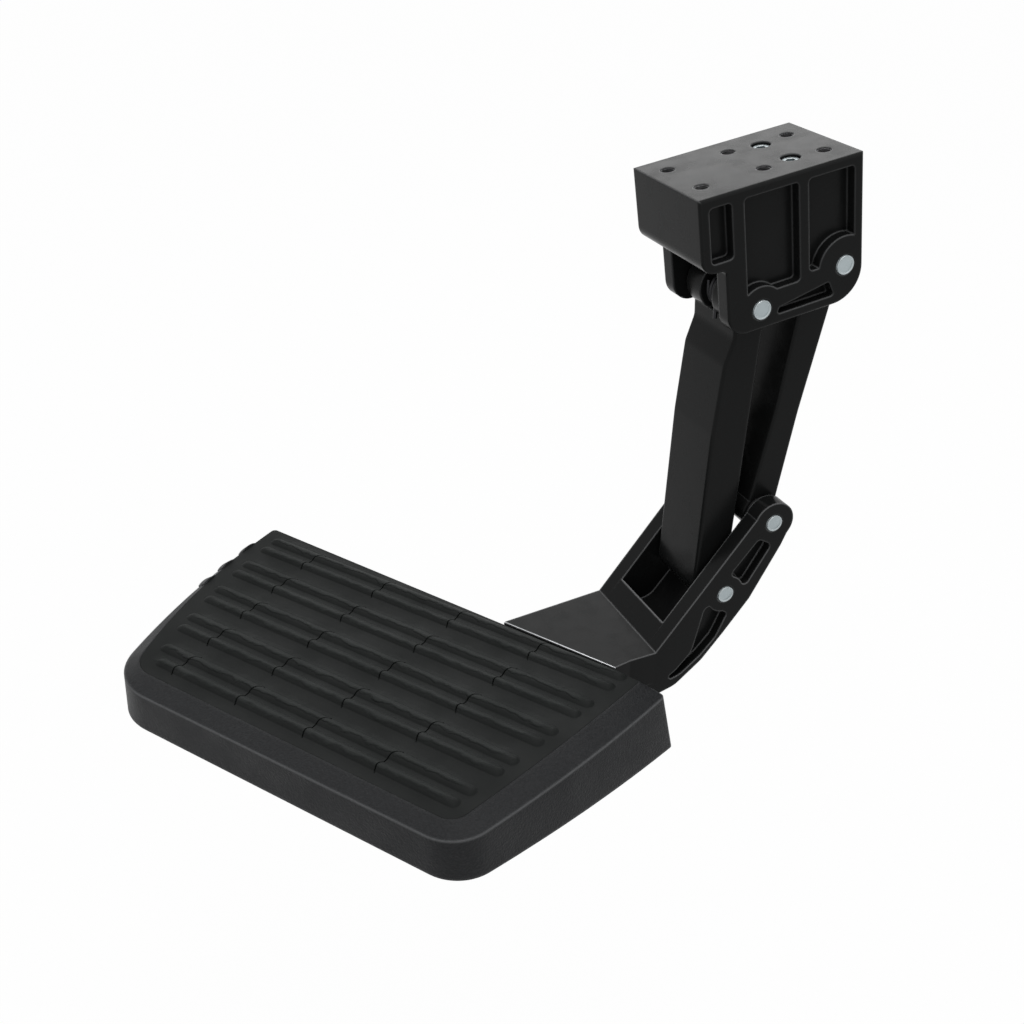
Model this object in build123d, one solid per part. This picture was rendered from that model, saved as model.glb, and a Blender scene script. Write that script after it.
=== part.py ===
from build123d import *
import math
import os

# Retractable side step. The origin is the centre of the bracket's mounting face.
# X runs along the pivot pins, +Y points to the rear of the bracket, away from the pad,
# and +Z is up with the tread level. All lengths are millimetres, all angles degrees.

# Running and seating clearances
running_fit = 0.05
seat_gap = 0.02
rest_gap = 0.3

# Mount bracket, in its own frame, which is then pitched about X
mount_pitch = 8.6
plate_thickness = 11.0
hub_side_gap = 1.0
bracket_front = -52.7
bracket_rear = 53.5
bracket_bottom = -86.8
bracket_rear_corner = 20.0
bracket_front_corner = 12.0
bracket_throat_radius = 3.0
block_bottom = -44.4
block_rear = -34.0
block_corner = 9.0
plate_front = -37.6
top_thickness = 12.0
rear_web_bottom = -30.0
rear_web_thickness = 7.0
bracket_edge = 1.5
pocket_depth = 7.0
pocket_corner = 2.5
pocket_margin = 6.0
boss_ring = 14.5
middle_pocket_rear = 10.5
middle_pocket_rise = 22.1
side_rib = 6.5
rear_pocket_rise = 25.8
rear_boss_extra = 3.5
slot_pocket_front = -6.0
slot_pocket_rear = 33.5
slot_pocket_height = 9.5
slot_pocket_taper = 5.5
slot_pocket_lean = 3.5
slot_pocket_corner = 1.5

# Mounting holes and the stop's screws
hole_rows = (-40.0, 0.0, 40.0)
hole_spacing = 37.0
hole_radius = 4.25
hole_depth = 22.0
screw_rear = 20.0
screw_spacing = 30.0
screw_bore_radius = 5.9
screw_bore_depth = 7.5
screw_head_radius = 5.0
screw_head_height = 6.0
screw_shank_radius = 3.0
screw_length = 14.0
screw_socket = 5.0

# Pivots: the upper two in the bracket's frame, the lower two in the level frame
upper_front_pivot = (-15.7, -74.8)
upper_rear_pivot = (41.2, -64.1)
lower_front_pivot = (-11.8, -268.4)
lower_rear_pivot = (19.9, -222.8)
fold_range = 75.0
upper_pin_radius = 6.2
lower_pin_radius = 5.9
pin_edge = 0.6
clip_thickness = 1.2
clip_width = 2.6
clip_groove = 0.8
pin_overhang = 3.0

# Main arm, measured from its upper pivot along its centre line
arm_half_width = 23.6
arm_hub_radius = 15.0
arm_foot_radius = 14.0
arm_neck_down = 23.0
arm_neck_front = 6.8
arm_shoulder_down = 39.0
arm_shoulder_front = 11.4
arm_belly_down = 85.0
arm_belly_front = 13.8
arm_back_top = 12.5
arm_back_foot = 10.6
arm_edge = 2.0
hub_step = 0.5
arm_channel_half = 14.0
arm_channel_depth = 15.0
arm_channel_top = 46.0
arm_channel_length = 112.0
heel_height = 28.0
heel_front = 4.0
heel_rear = -6.5
heel_outer = 20.0

# Return spring in the hub's middle slot
spring_wire = 2.6
spring_radius = 10.4
spring_pitch = 2.9
spring_turns = 3.0
spring_leg = 15.0
spring_slot_half = 6.6

# Flanged bushes
bush_wall = 1.5
bush_flange = 1.4
bush_flange_radius = 10.5
bush_length = 15.0

# Rear link, measured from its upper pivot along its centre line
link_step = 0.6
link_top_front = 12.7
link_top_rear = 8.6
link_waist_down = 98.0
link_waist_front = 9.2
link_waist_rear = 9.0
link_foot_front = 10.4
link_foot_rear = 10.6
link_foot_radius = 12.6
link_edge = 2.0
link_slot_above = 5.6
link_slot_below = 6.2
link_slot_half_width = 8.9
link_slot_wall = 4.8
link_channel_half = 14.0
link_channel_depth = 11.0
link_channel_top = 36.0
link_channel_length = 96.0

# Stop block and its rubber bumpers, in the bracket's frame
stop_half_width = 21.0
stop_front = -0.5
stop_leg = 10.0
stop_bottom = -60.0
stop_pad_front = 9.5
stop_pad_rear = 31.0
stop_pad_thickness = 12.0
bumper_height = 12.0
bumper_inset = 1.0

# Lower fork; its corner points are measured rearward and up from the bend
foot_side_gap = 3.0
rail_thickness = 11.8
rail_pocket_depth = 7.0
rail_boss_radius = 14.2
rail_pin_boss_radius = 13.0
bend_y = -61.0
fork_slope = 51.0
fork_pivot_rise = 10.2
fork_top_step = 0.5
rail_underside = ((68.0, 24.2, 0), (50.0, 1.7, 20.0), (35.0, -15.8, 20.0), (16.0, -30.8, 15.0))
rail_heel = (1.0, -34.8, 15.0)
rail_toe = (-13.0, -29.8, 12.0)
rail_end = -25.0
upper_pocket = ((70.7, 68.2, 3.0), (81.0, 62.2, 4.0), (64.0, 34.7, 3.0), (52.0, 46.7, 3.0))
lower_pocket = (
    (35.1, 28.2, 4.0), (52.0, 16.7, 3.0), (44.5, -0.3, 10.0), (33.9, -11.9, 15.0),
    (19.7, -22.9, 15.0), (0.5, -28.8, 2.0), (16.0, -18.6, 12.0), (27.0, -7.3, 15.0),
)
recess_edge = 11.0
recess_floor = ((14.0, -9.3, 6.0), (34.0, -5.3, 12.0), (49.0, 12.2, 0))
web_rear = (54.5, 7.2, 0)
tongue_depth = 24.3
tongue_wall = 6.0
tongue_top = 7.0
tongue_far = 152.5
tongue_near = 239.0
tongue_bulge = (0.6, -19.0)
tongue_gap = 1.3
tongue_edge = 0.8

# Step pad, in its own frame: X along the front edge, origin on the tread plane
pad_origin = (-157.6, -222.5, -300.7)
pad_turn = 32.4
pad_back_left = (-61.7, 10.0)
pad_back_right = (277.0, 0.1)
pad_front_right = (246.5, -179.3)
pad_front_left = (-21.7, -181.6)
pad_left_bow = 8.0
pad_right_bow = 3.8
pad_crease_drop = 4.0
pad_depth_front = 30.0
pad_depth_rear = 40.0
pad_wall = 3.5
pad_flare = 1.4
pad_flare_right_rear = 8.2
pad_flare_right_front = 3.5
pad_corner_right = 27.0
pad_corner_left = 42.0
pad_corner_back_left = 9.0
pad_corner_back_right = 4.0
pad_panel = 6.5
rib_thickness = 2.5
rib_columns = 7
rib_column_pitch = 41.0
rib_rows = 5
rib_row_pitch = 36.0
rib_bottom = -16.0

# Humps that the left border carries near its back end
hump_places = (-20.0, -44.0, -66.0)
hump_width = 15.0
hump_height = 1.6

# Tread mat; its corners, with the pad's border left round them
tread_back_left = (-57.5, 8.8)
tread_back_right = (259.0, -0.8)
tread_front_right = (235.5, -166.5)
tread_front_left = (-15.5, -166.5)
tread_left_bow = 8.0
tread_right_bow = 2.0
mat_seat = 2.0
mat_gap = 0.15
mat_corner_left = 22.0
mat_corner_right = 12.0
mat_corner_back = 3.0
row_count = 5
row_pitch = 34.2
ridge_width = 9.0
ridge_height = 1.7
ridge_first = -3.6
ridge_step = 12.6
ridge_end_left = 9.0
ridge_end_right = 8.0
ridge_corner_start = -140.0
ridge_corner_slope = 0.35
tile_centre = 93.5
tile_pitch = 64.1
tile_taper = 2.4
joint_count = 4
joint_width = 0.9
joint_depth = 1.0
joint_path = ((2.4, 1.2), (-0.9, -1.8), (-2.2, -7.0), (-2.2, -12.5), (-3.1, -15.5), (-2.3, -19.0), (-0.8, -22.0))

# Mounting flange under the pad and its fasteners
flange_gap = 0.3
flange_thickness = 8.0
flange_rim = 4.5
flange_rim_width = 5.0
flange_corner = 12.0
flange_near = (45.0, -38.0)
flange_far = (228.0, -128.0)
flange_neck_far = 148.0
flange_neck_near = 234.0
flange_throat = 20.0
flange_reach = 14.0
flange_reach_near = 10.0
notch_side = 4.5
notch_above = 2.0
notch_depth = 40.0
bolt_inset = 17.0
bolt_radius = 3.9
bolt_head_radius = 7.0
bolt_head_height = 5.5
washer_radius = 8.5
washer_thickness = 1.6
insert_radius = 5.6
insert_length = 8.5
boss_radius = 9.0


def outline(corners):
    """Closed face from (across, up, corner radius) triples."""
    points = [(a, b) for a, b, r in corners]
    radii = [r for a, b, r in corners]
    return make_face(FilletPolyline(*points, radius=radii, close=True))


def across(face, x_from, x_to):
    """Extrude a Y-Z face along X."""
    return extrude(Plane.YZ.offset(x_from) * face, x_to - x_from)


def upward(face, z_from, z_to):
    """Extrude an X-Y face along Z."""
    return extrude(Plane.XY.offset(z_from) * face, z_to - z_from)


def disc(centre, radius, x_from, x_to):
    """Cylinder along X about a (y, z) centre."""
    return across(Pos(centre[0], centre[1]) * Circle(radius), x_from, x_to)


def both_sides(shape):
    """A shape and its mirror image in the middle plane."""
    return [shape, mirror(shape, Plane.YZ)]


def turned(point, angle):
    """A (y, z) pair turned about the X axis."""
    c = math.cos(math.radians(angle))
    s = math.sin(math.radians(angle))
    return (point[0] * c - point[1] * s, point[0] * s + point[1] * c)


def in_bracket_frame(shape):
    return Rot(X=mount_pitch) * shape


def in_pad_frame(shape):
    return Pos(*pad_origin) * Rot(Z=pad_turn) * shape


def soft_slab(face, half_width, edge):
    """Extrude a Y-Z face to both sides and round the rims of its two ends."""
    slab = across(face, -half_width, half_width)
    ends = slab.faces().sort_by(Axis.X)
    rims = [rim for end in (ends[0], ends[-1]) for rim in end.outer_wire().edges()]
    return fillet(rims, edge)


plate_inner_half = arm_half_width + bush_flange + hub_side_gap
bracket_half_width = plate_inner_half + plate_thickness
rail_inner_half = arm_half_width + bush_flange + foot_side_gap
rail_outer_half = rail_inner_half + rail_thickness
link_half_width = arm_half_width - link_step
front_pivot = turned(upper_front_pivot, mount_pitch)
rear_pivot = turned(upper_rear_pivot, mount_pitch)


class Centreline:
    """Local axes of an arm: down its centre line, and to its front."""

    def __init__(self, top, foot):
        self.top = top
        self.foot = foot
        self.length = math.dist(top, foot)
        self.down = ((foot[0] - top[0]) / self.length, (foot[1] - top[1]) / self.length)
        self.front = (self.down[1], -self.down[0])
        self.tilt = math.degrees(math.atan2(self.down[0], -self.down[1]))

    def at(self, down, front):
        """The (y, z) point at a distance down the line and to its front."""
        y = self.top[0] + self.down[0] * down + self.front[0] * front
        z = self.top[1] + self.down[1] * down + self.front[1] * front
        return (y, z)

    def corner(self, down, front, radius=0.0):
        y, z = self.at(down, front)
        return (y, z, radius)


arm_line = Centreline(front_pivot, lower_front_pivot)
link_line = Centreline(rear_pivot, lower_rear_pivot)


def build_bracket():
    """One casting: front block, top plate and two pocketed side plates."""
    side = outline([
        (bracket_front, 0, 0),
        (bracket_rear, 0, 0),
        (bracket_rear, bracket_bottom, bracket_rear_corner),
        (plate_front, bracket_bottom, bracket_front_corner),
        (plate_front, block_bottom, bracket_throat_radius),
        (bracket_front, block_bottom, block_corner),
    ])
    body = soft_slab(side, bracket_half_width, bracket_edge)
    room = outline([
        (plate_front - 1, bracket_bottom - 1, 0),
        (plate_front - 1, block_bottom, 0),
        (block_rear, block_bottom, 3.0),
        (block_rear, -top_thickness, 4.0),
        (bracket_rear - rear_web_thickness, -top_thickness, 4.0),
        (bracket_rear - rear_web_thickness, rear_web_bottom, 0),
        (bracket_rear + 1, rear_web_bottom, 0),
        (bracket_rear + 1, bracket_bottom - 1, 0),
    ])
    body -= across(room, -plate_inner_half, plate_inner_half)
    floor = bracket_half_width - pocket_depth
    for pocket in bracket_pockets():
        body -= both_sides(across(pocket, floor, bracket_half_width + 1))
    return in_bracket_frame(body - bracket_holes())


def bracket_pockets():
    """Recesses between the side plate's ribs and round its two pin bosses."""
    top = -pocket_margin
    front_boss = Pos(*upper_front_pivot) * Circle(boss_ring)
    rear_boss = Pos(*upper_rear_pivot) * Circle(boss_ring + rear_boss_extra)
    block_pocket = outline([
        (bracket_front + pocket_margin, top, pocket_corner),
        (plate_front + pocket_margin - 1, top, pocket_corner),
        (plate_front + pocket_margin - 1, block_bottom + pocket_margin, pocket_corner),
        (bracket_front + pocket_margin, block_bottom + pocket_margin, pocket_corner),
    ])
    middle_front = plate_front + 2 * pocket_margin + 1
    middle_low = bracket_bottom + middle_pocket_rise
    middle = outline([
        (middle_front, top, pocket_corner),
        (middle_pocket_rear, top, pocket_corner),
        (middle_pocket_rear, middle_low, pocket_corner),
        (middle_front, middle_low, pocket_corner),
    ])
    rear_front = middle_pocket_rear + side_rib
    rear_low = bracket_bottom + rear_pocket_rise
    rear = outline([
        (rear_front, top, pocket_corner),
        (bracket_rear - pocket_margin, top, pocket_corner),
        (bracket_rear - pocket_margin, rear_low, pocket_corner),
        (rear_front, rear_low, pocket_corner),
    ])
    low = bracket_bottom + pocket_margin
    slot = outline([
        (slot_pocket_front, low, slot_pocket_corner),
        (slot_pocket_rear, low, slot_pocket_corner),
        (slot_pocket_rear - slot_pocket_lean, low + slot_pocket_height, slot_pocket_corner),
        (slot_pocket_front + 2, low + slot_pocket_height - slot_pocket_taper, slot_pocket_corner),
    ])
    return [block_pocket, middle - front_boss, rear - rear_boss, slot]


def bracket_holes():
    """Tapped mounting holes, the stop screws' counterbores and the pin bores."""
    cuts = []
    for row in hole_rows:
        depth = hole_depth if row < block_rear else top_thickness + 1
        for side in (-1, 1):
            tool = Cylinder(hole_radius, depth + 1, align=(Align.CENTER, Align.CENTER, Align.MAX))
            cuts.append(Pos(side * hole_spacing / 2, row, 1) * tool)
    for side in (-1, 1):
        x = side * screw_spacing / 2
        bore = Cylinder(screw_bore_radius, screw_bore_depth + 1,
                        align=(Align.CENTER, Align.CENTER, Align.MAX))
        way = Cylinder(screw_shank_radius + running_fit, top_thickness + 2,
                       align=(Align.CENTER, Align.CENTER, Align.MAX))
        cuts += [Pos(x, screw_rear, 1) * bore, Pos(x, screw_rear, 1) * way]
    reach = bracket_half_width + 1
    for pivot in (upper_front_pivot, upper_rear_pivot):
        cuts.append(disc(pivot, upper_pin_radius + seat_gap, -reach, reach))
    return cuts


def build_pin(centre, radius, half_width):
    """Headless pin, flush on the near side, grooved for a ring on the far side."""
    end = -half_width - pin_overhang
    pin = disc(centre, radius, end, half_width)
    rims = [pin.faces().sort_by(Axis.X)[0], pin.faces().sort_by(Axis.X)[-1]]
    pin = chamfer([edge for face in rims for edge in face.edges()], pin_edge)
    ring = disc(centre, radius + 1, -half_width - clip_thickness - 0.1, -half_width - 0.1)
    core = disc(centre, radius - clip_groove, -half_width - clip_thickness - 0.1, -half_width - 0.1)
    return pin - (ring - core)


def build_clip(centre, radius, half_width):
    """Retaining ring with a gap, seated in the pin's groove."""
    start = -half_width - clip_thickness - 0.05
    inner = radius - clip_groove + seat_gap
    ring = Circle(inner + clip_width) - Circle(inner)
    ring -= Pos(0, -radius) * Rectangle(radius * 0.9, radius * 1.6)
    return across(Pos(*centre) * ring, start, start + clip_thickness - 0.1)


def build_arm():
    """Main arm: split hub with two stop heels, waisted neck and a channelled back."""
    line = arm_line
    shaft = outline([
        line.corner(0, arm_neck_front + 2),
        line.corner(arm_neck_down, arm_neck_front, 10.0),
        line.corner(arm_shoulder_down, arm_shoulder_front, 14.0),
        line.corner(arm_belly_down, arm_belly_front, 60.0),
        line.corner(line.length, arm_foot_radius),
        line.corner(line.length, -arm_back_foot),
        line.corner(arm_neck_down, -arm_back_top, 20.0),
        line.corner(0, -arm_hub_radius + hub_step),
    ])
    arm = soft_slab(shaft, arm_half_width, arm_edge)
    arm += soft_slab(Pos(*line.top) * Circle(arm_hub_radius), arm_half_width, arm_edge)
    arm += soft_slab(Pos(*line.foot) * Circle(arm_foot_radius), arm_half_width, arm_edge)
    arm += both_sides(build_heel())
    arm -= hub_slot()
    arm -= back_channel(line, arm_back_top, arm_channel_half, arm_channel_depth,
                        arm_channel_top, arm_channel_length)
    reach = arm_half_width + 1
    bore = bush_bore(upper_pin_radius)
    arm -= disc(line.top, bore, -reach, reach)
    return arm - disc(line.foot, bush_bore(lower_pin_radius), -reach, reach)


def bush_bore(pin_radius):
    """Radius of the hole that holds a bush for the given pin."""
    return pin_radius + running_fit + bush_wall + seat_gap


def build_heel():
    """Lug above the hub that meets the stop's bumper when the step is down."""
    y, z = upper_front_pivot
    lug = outline([
        (y - heel_front, z, 0),
        (heel_rear, z, 0),
        (heel_rear, z + heel_height, 3.0),
        (y - heel_front, z + heel_height, 8.0),
    ])
    return in_bracket_frame(across(lug, spring_slot_half, heel_outer))


def hub_slot():
    """Slot in the middle of the hub for the coil, open to the front and the top."""
    y, z = arm_line.top
    room = spring_radius + spring_wire / 2 + 0.8
    coil_room = disc((y, z), room, -spring_slot_half, spring_slot_half)
    mouth = outline([
        (y - arm_hub_radius - 5, z - room, 0),
        (y, z - room, 0),
        (y + room, z, 0),
        (y + room, z + arm_hub_radius + 5, 0),
        (y - arm_hub_radius - 5, z + arm_hub_radius + 5, 0),
    ])
    return [coil_room, across(mouth, -spring_slot_half, spring_slot_half)]


def back_channel(line, rear, half, depth, top, length):
    """Recess in the rear face of an arm, with rounded ends."""
    width = 2 * half
    face = RectangleRounded(width, length, half * 0.6)
    tool = extrude(face, depth + 20)
    y, z = line.at(top + length / 2, -rear + depth)
    return Pos(0, y, z) * Rot(X=line.tilt) * Rot(X=90) * Rot(Y=180) * tool


def build_spring():
    """Torsion spring about the upper front pin, both legs along the neck's front."""
    height = spring_pitch * spring_turns
    coil = Helix(spring_pitch, height, spring_radius)
    first = Line(coil @ 0 - (coil % 0) * spring_leg, coil @ 0)
    last = Line(coil @ 1, coil @ 1 + (coil % 1) * spring_leg * 0.4)
    path = Wire([first, *coil.edges(), last])
    section = Plane(origin=path @ 0, z_dir=path % 0) * Circle(spring_wire / 2)
    wire = sweep(section, path=path, is_frenet=True)
    y, z = arm_line.top
    return Plane(origin=(height / 2, y, z), x_dir=(0, -1, 0), z_dir=(-1, 0, 0)) * wire


def build_bush(centre, radius, outer_face, side):
    """Flanged bush pressed in from one side."""
    flange_out = side * (outer_face + bush_flange)
    inner_end = side * (outer_face - bush_length)
    seat = side * (outer_face + 0.01)
    low, high = sorted((inner_end, flange_out))
    sleeve = disc(centre, radius + running_fit + bush_wall, low, high)
    low, high = sorted((seat, flange_out))
    sleeve += disc(centre, bush_flange_radius, low, high)
    low, high = sorted((inner_end - side, flange_out + side))
    return sleeve - disc(centre, radius + running_fit, low, high)


def build_link():
    """Rear link: round foot eye, and an upper eye whose slot frees the closed loop."""
    line = link_line
    head_half = link_slot_half_width + link_slot_wall
    above = link_slot_above + head_half
    below = link_slot_below + head_half
    shaft = outline([
        line.corner(below, link_top_front, 0),
        line.corner(link_waist_down, link_waist_front, 150.0),
        line.corner(line.length, link_foot_front, 0),
        line.corner(line.length, -link_foot_rear, 0),
        line.corner(link_waist_down, -link_waist_rear, 150.0),
        line.corner(0, -link_top_rear - 2, 0),
        line.corner(0, link_top_front, 0),
    ])
    head = eye(line, above - head_half, below - head_half, head_half)
    link = soft_slab(shaft, link_half_width, link_edge)
    link += soft_slab(head, link_half_width, link_edge)
    link += soft_slab(Pos(*line.foot) * Circle(link_foot_radius), link_half_width, link_edge)
    reach = link_half_width + 1
    link -= across(eye(line, link_slot_above, link_slot_below, link_slot_half_width), -reach, reach)
    link -= back_channel(line, link_top_rear, link_channel_half, link_channel_depth,
                         link_channel_top, link_channel_length)
    return link - disc(line.foot, bush_bore(lower_pin_radius), -reach, reach)


def eye(line, above, below, half_width):
    """Long round-ended face about an arm's upper pivot."""
    y, z = line.at((below - above) / 2, 0)
    long_hole = SlotCenterToCenter(above + below, 2 * half_width)
    return Pos(y, z) * Rot(Z=90 + line.tilt) * long_hole


def build_stop():
    """Angled stop hung under the top plate, its leg between the two pivots."""
    top = -top_thickness - seat_gap
    leg_rear = stop_front + stop_leg
    side = outline([
        (stop_pad_front, top, 0),
        (stop_pad_rear, top, 0),
        (stop_pad_rear, top - stop_pad_thickness, 2.0),
        (leg_rear, top - 1.6 * stop_pad_thickness, 4.0),
        (leg_rear, stop_bottom, 0),
        (stop_front, stop_bottom, 0),
        (stop_front, top - stop_pad_thickness, 2.0),
    ])
    stop = across(side, -stop_half_width, stop_half_width)
    for x in (-screw_spacing / 2, screw_spacing / 2):
        hole = Cylinder(screw_shank_radius + seat_gap, 2 * stop_pad_thickness)
        stop -= Pos(x, screw_rear, top) * hole
    return in_bracket_frame(stop)


def build_stop_screws():
    """Socket-head screws, sunk in the top plate, that hold the stop block."""
    head_top = -screw_bore_depth + screw_head_height
    hanging = (Align.CENTER, Align.CENTER, Align.MAX)
    head = Pos(0, 0, head_top) * Cylinder(screw_head_radius, screw_head_height, align=hanging)
    shank = Pos(0, 0, -screw_bore_depth) * Cylinder(screw_shank_radius, screw_length, align=hanging)
    socket = extrude(RegularPolygon(screw_socket / 2, 6, major_radius=False), 3.5)
    screw = head + shank - Pos(0, 0, head_top - 3.4) * socket
    return [in_bracket_frame(Pos(x, screw_rear, 0) * screw)
            for x in (-screw_spacing / 2, screw_spacing / 2)]


def build_down_bumper():
    """Rubber pad on the leg's front that the heels rest against."""
    half = stop_half_width - bumper_inset
    contact = heel_rear + rest_gap
    middle = (stop_bottom + bumper_height / 2 + bumper_inset)
    pad = Pos((contact + stop_front) / 2, middle) * Rectangle(stop_front - contact - seat_gap, bumper_height)
    return in_bracket_frame(across(pad, -half, half))


def build_up_bumper():
    """Rubber pad under the leg, cut parallel to the arm's back when the step is up."""
    half = stop_half_width - bumper_inset
    y_near = stop_front
    y_far = stop_front + stop_leg
    corners = [(y_near, stop_bottom - seat_gap), (y_far, stop_bottom - seat_gap)]
    for y in (y_far, y_near):
        corners.append((y, arm_back_when_up(y) + rest_gap))
    face = make_face(Polyline(*corners, close=True))
    return in_bracket_frame(across(face, -half, half))


def arm_back_when_up(y):
    """Height of the arm's back in the bracket's frame, with the step fully up."""
    points = []
    for down, rear in ((0, arm_hub_radius - hub_step), (arm_neck_down, arm_back_top)):
        world = arm_line.at(down, -rear)
        swung = turned((world[0] - front_pivot[0], world[1] - front_pivot[1]), fold_range)
        points.append(turned((swung[0] + front_pivot[0], swung[1] + front_pivot[1]), -mount_pitch))
    (y0, z0), (y1, z1) = points
    return z0 + (y - y0) * (z1 - z0) / (y1 - y0)


def fork_top(y):
    """Height of the rails' sloping top above the bend, level frame."""
    return pad_origin[2] + (y - bend_y) * math.tan(math.radians(fork_slope))


def build_fork():
    """Lower fork: pocketed rails, trough, level tongue and the flange under the pad."""
    fork = both_sides(across(rail_outline(), rail_inner_half, rail_outer_half))
    fork = fork[0] + fork[1] + trough()
    fork -= beyond_tongue()
    fork += tongue()
    for pocket in rail_pockets():
        cut = across(pocket, rail_outer_half - rail_pocket_depth, rail_outer_half + 1)
        fork -= both_sides(cut)
    reach = rail_outer_half + 1
    for pivot in (lower_front_pivot, lower_rear_pivot):
        fork -= disc(pivot, lower_pin_radius + seat_gap, -reach, reach)
    return fork


def from_bend(corners):
    """Corner triples measured rearward and up from the bend, as level-frame ones."""
    return [(bend_y + rearward, pad_origin[2] + up, radius) for rearward, up, radius in corners]


def rail_outline():
    """Side view of a rail, from the bend up to the rear pivot's boss."""
    y, z = lower_rear_pivot
    shoulder = y - fork_pivot_rise
    rail = outline([
        (bend_y, pad_origin[2], 0),
        (shoulder, fork_top(shoulder) - fork_top_step, 8.0),
        (y + rail_boss_radius - 1, z - rail_boss_radius / 4, 0),
        (y + rail_boss_radius / 2, z - 1.25 * rail_boss_radius, 10.0),
        *from_bend([*rail_underside, rail_heel, rail_toe]),
        *from_bend([(rail_end, -tongue_depth, 0), (rail_end, 0, 0)]),
    ])
    return rail + Pos(y, z) * Circle(rail_boss_radius)


def rail_pockets():
    """Recesses in a rail's outer face above and below the front pivot."""
    boss = Pos(*lower_front_pivot) * Circle(rail_pin_boss_radius)
    boss += Pos(*lower_rear_pivot) * Circle(rail_pin_boss_radius)
    return [outline(from_bend(corners)) - boss for corners in (upper_pocket, lower_pocket)]


def trough():
    """Sloping cross strip and floor between the rails; the folded arm lies in it."""
    lip = bend_y + recess_edge
    web = outline([
        (bend_y, pad_origin[2], 0),
        (lip, fork_top(lip), 0),
        *from_bend([*recess_floor, web_rear, *rail_underside[2:], rail_heel]),
        *from_bend([(rail_end, -tongue_depth, 0), (rail_end, 0, 0)]),
    ])
    return across(web, -rail_inner_half - 1, rail_inner_half + 1)


def tongue():
    """Level tongue that narrows to the pad's edge, hollow below, with its flange."""
    plane = pad_origin[2]
    outer = tongue_outline()
    slab = upward(outer, plane - tongue_depth, plane)
    slab = chamfer(slab.faces().sort_by(Axis.Z)[-1].edges().sort_by(Axis.Y)[0], tongue_edge)
    slab -= upward(offset(outer, -tongue_wall), plane - tongue_depth - 1, plane - tongue_top)
    return slab + in_pad_frame(flange())


def tongue_outline():
    """Plan of the tongue from the bend to the pad's back edge."""
    left, right = tongue_corners()
    bulge, bulge_y = tongue_bulge
    return make_face(Polyline(
        (-rail_outer_half, bend_y + 2), (-rail_outer_half, bend_y), left, right,
        (rail_outer_half + bulge, bend_y + bulge_y), (rail_outer_half, bend_y), (rail_outer_half, bend_y + 2),
        close=True,
    ))


def tongue_corners():
    """Far and near corner where the tongue meets the pad."""
    return [from_pad(x, pad_back_y(x) + tongue_gap) for x in (tongue_far, tongue_near)]


def beyond_tongue():
    """Room past the tongue's far side, which the far rail's end keeps out of."""
    left = tongue_corners()[0]
    side = make_face(Polyline(
        (-rail_outer_half, bend_y), left, (left[0] - rail_outer_half, left[1]),
        (left[0] - rail_outer_half, bend_y), close=True,
    ))
    return upward(side, pad_origin[2] - 2 * tongue_depth, pad_origin[2] + 1)


def pad_back_y(x):
    """Where the pad's back edge runs, in the pad's frame."""
    (x0, y0), (x1, y1) = pad_back_left, pad_back_right
    return y0 + (x - x0) * (y1 - y0) / (x1 - x0)


def from_pad(x, y):
    """A point of the pad's frame as level-frame (x, y)."""
    point = Pos(*pad_origin) * Rot(Z=pad_turn) * Pos(x, y, 0)
    return (point.position.X, point.position.Y)


def flange():
    """Plate under the pad's panel with a stiffening rim and four bolt holes."""
    top = rib_bottom - flange_gap
    bottom = top - flange_thickness
    (x0, y0), (x1, y1) = flange_near, flange_far
    plate = outline([
        (flange_neck_far + flange_throat / 2, flange_reach, 0),
        (flange_neck_near, flange_reach_near, 0),
        (x1, y0, 0),
        (x1, y1, flange_corner),
        (x0, y1, flange_corner),
        (x0, y0, flange_corner),
        (flange_neck_far, y0, flange_throat),
    ])
    body = upward(plate, bottom, top)
    rim = upward(plate - offset(plate, -flange_rim_width), bottom - flange_rim, bottom + 1)
    keep_clear = Box(4 * x1, notch_depth, 2 * pad_depth_rear, align=(Align.CENTER, Align.MIN, Align.CENTER))
    keep_clear = Pos(0, flange_reach_near, 0) * keep_clear
    body += rim - keep_clear
    for x, y in bolt_places():
        body -= Pos(x, y, bottom) * Cylinder(bolt_radius + 0.3, 40)
    return body


def bolt_places():
    (x0, y0), (x1, y1) = flange_near, flange_far
    return [(x, y) for x in (x0 + bolt_inset, x1 - bolt_inset) for y in (y0 - bolt_inset, y1 + bolt_inset)]


def pad_face(corners, bows, radii):
    """Plan with a straight back and front and bowed sides; corners run round from the back left."""
    back_left, back_right, front_right, front_left = corners
    left = bowed(front_left, back_left, bows[0])
    right = bowed(back_right, front_right, bows[1])
    face = make_face([Line(back_left, back_right), right, Line(front_right, front_left), left])
    for corner, radius in zip(corners, radii):
        face = fillet(face.vertices().sort_by_distance(corner)[0], radius)
    return face


def bowed(start, end, bow):
    """Shallow arc from start to end, bulging to the left of the way it runs."""
    mid_x = (start[0] + end[0]) / 2
    mid_y = (start[1] + end[1]) / 2
    length = math.dist(start, end)
    out = ((end[1] - start[1]) / length, -(end[0] - start[0]) / length)
    return ThreePointArc(start, (mid_x - out[0] * bow, mid_y - out[1] * bow), end)


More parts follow.
